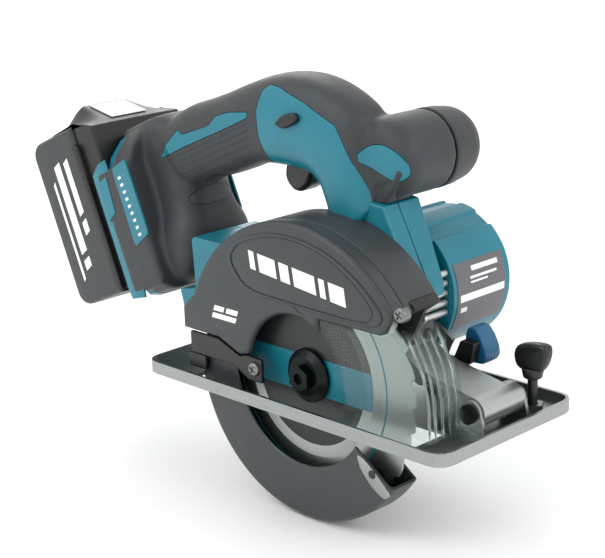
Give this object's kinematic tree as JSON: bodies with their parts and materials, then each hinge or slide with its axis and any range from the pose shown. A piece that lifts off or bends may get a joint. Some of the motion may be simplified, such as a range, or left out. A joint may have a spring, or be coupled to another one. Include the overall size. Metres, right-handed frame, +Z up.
{
  "type": "cordless circular saw",
  "caption": "Cordless metal-cutting circular saw: guarded blade on a hinged sole, closed grip handle, side barrel grip, motor across the body and a slide-on battery.",
  "frame": {"origin": "on the sole's underside, below the blade's axis and on the middle plane of the handle and battery", "axes": "+X the way the saw cuts, +Y towards the motor and away from the blade, +Z up from the sole"},
  "size_m": [0.3477, 0.1266, 0.235],
  "materials": {
    "satin_metal": "satin",
    "black_steel": "satin black",
    "zinc_steel": "zinc plated",
    "polished_aluminium": "smooth, bright",
    "cast_aluminium": "as cast",
    "bright_steel": "bright",
    "gear_steel": "ground",
    "blade_steel": "ground, with a printed disc",
    "spring_steel": "plain",
    "copper": "enamelled wire",
    "teal_plastic": "fine satin texture",
    "charcoal_plastic": "fine satin texture",
    "black_plastic": "satin",
    "charcoal_rubber": "soft matt",
    "coated_metal": "satin charcoal",
    "label_grey": "matt label",
    "label_white": "smooth label",
    "board_green": "lacquered board",
    "clear_plastic": "clear, slightly green"
  },
  "bodies": {
    "sole": {"sole_plate": "satin_metal", "hinge_pin": "black_steel", "depth_guide": "zinc_steel", "clamp_nut": "zinc_steel"},
    "saw_body": {"front_arm": "polished_aluminium", "arm_screw_near": "bright_steel", "arm_screw_far": "bright_steel", "gear_housing": "cast_aluminium", "gear_cover": "cast_aluminium", "cooling_fins": "cast_aluminium", "motor_mount": "cast_aluminium", "bearing_retainer": "cast_aluminium", "spindle_bearing": "bright_steel", "motor_bearing_front": "bright_steel", "motor_bearing_rear": "bright_steel", "blade_case": "charcoal_plastic", "blade_cover": "charcoal_plastic", "case_bracket": "black_plastic", "bracket_screw": "bright_steel", "rear_tab": "black_plastic", "clear_window": "clear_plastic", "window_screw": "bright_steel", "guard_spring": "spring_steel", "motor_housing": "teal_plastic", "motor_end_cap": "charcoal_plastic", "stator": "copper", "motor_label": "label_grey", "body_near": "teal_plastic", "body_far": "teal_plastic", "grip_rubber": "charcoal_rubber", "grip_inset_near": "teal_plastic", "grip_inset_far": "teal_plastic", "switch_unit": "black_plastic", "controller_board": "board_green", "front_grip": "charcoal_rubber", "front_grip_end": "charcoal_rubber", "clamp_bolt": "zinc_steel", "battery_mount": "teal_plastic"},
    "rule_clamp": {"wing_screw": "black_plastic"},
    "blade": {"spindle": "bright_steel", "spindle_gear": "gear_steel", "inner_flange": "bright_steel", "saw_blade": "blade_steel", "outer_flange": "black_steel", "blade_bolt": "black_steel"},
    "countershaft": {"idler_shaft": "gear_steel", "idler_gear": "gear_steel"},
    "rotor": {"rotor_shaft": "gear_steel", "rotor_core": "gear_steel", "fan": "charcoal_plastic"},
    "moving_guard": {"lower_guard": "coated_metal", "guard_marker": "label_white"},
    "trigger": {"trigger": "black_plastic"},
    "lock_button": {"lock_off_button": "black_plastic"},
    "depth_clamp": {"depth_lever": "black_plastic", "lever_pad": "teal_plastic"},
    "battery": {"battery_case": "charcoal_plastic", "battery_top": "charcoal_plastic", "battery_label": "label_white"},
    "battery_release": {"battery_button": "charcoal_plastic"}
  },
  "joints": [
    {"name": "depth_swing", "type": "hinge", "parent": "sole", "child": "saw_body", "pos_m": [0.092, 0, 0.013], "axis": [0, 1, 0], "range_deg": [0, 22]},
    {"name": "rule_clamp_turn", "type": "hinge", "parent": "sole", "child": "rule_clamp", "pos_m": [0.0958, 0.032, 0.02], "axis": [0, 0, 1], "range_deg": [-180, 180]},
    {"name": "blade_spin", "type": "hinge", "parent": "saw_body", "child": "blade", "pos_m": [0, -0.036, 0.0185], "axis": [0, 1, 0], "continuous": true},
    {"name": "countershaft_spin", "type": "hinge", "parent": "saw_body", "child": "countershaft", "pos_m": [0.00616, 0, 0.03541], "axis": [0, 1, 0], "continuous": true},
    {"name": "rotor_spin", "type": "hinge", "parent": "saw_body", "child": "rotor", "pos_m": [0.01454, 0.035, 0.05844], "axis": [0, 1, 0], "continuous": true},
    {"name": "guard_swing", "type": "hinge", "parent": "saw_body", "child": "moving_guard", "pos_m": [0, -0.036, 0.0185], "axis": [0, 1, 0], "range_deg": [0, 120], "stiffness_Nm_per_rad": 0.12, "springref_deg": -68.75},
    {"name": "trigger_pull", "type": "hinge", "parent": "saw_body", "child": "trigger", "pos_m": [-0.0185, 0, 0.127], "axis": [0, 1, 0], "range_deg": [0, 12], "stiffness_Nm_per_rad": 2, "springref_deg": -8.59},
    {"name": "lock_button_push", "type": "slide", "parent": "saw_body", "child": "lock_button", "axis": [0, 1, 0], "range_m": [-0.003, 0.003], "stiffness_N_per_m": 900},
    {"name": "depth_lever_turn", "type": "hinge", "parent": "saw_body", "child": "depth_clamp", "pos_m": [0.04212, 0.02, 0.01649], "axis": [0, 1, 0], "range_deg": [0, 15]},
    {"name": "battery_slide", "type": "slide", "parent": "saw_body", "child": "battery", "axis": [-0.3987, 0, 0.9171], "range_m": [0, 0.11]},
    {"name": "battery_button_push", "type": "slide", "parent": "battery", "child": "battery_release", "axis": [0.3987, 0, -0.9171], "range_m": [0, 0.0025], "stiffness_N_per_m": 1200, "springref_m": -0.001}
  ],
  "couplings": [
    {"joint": "countershaft_spin", "follows": "blade_spin", "ratio": -2},
    {"joint": "rotor_spin", "follows": "blade_spin", "ratio": 6}
  ]
}
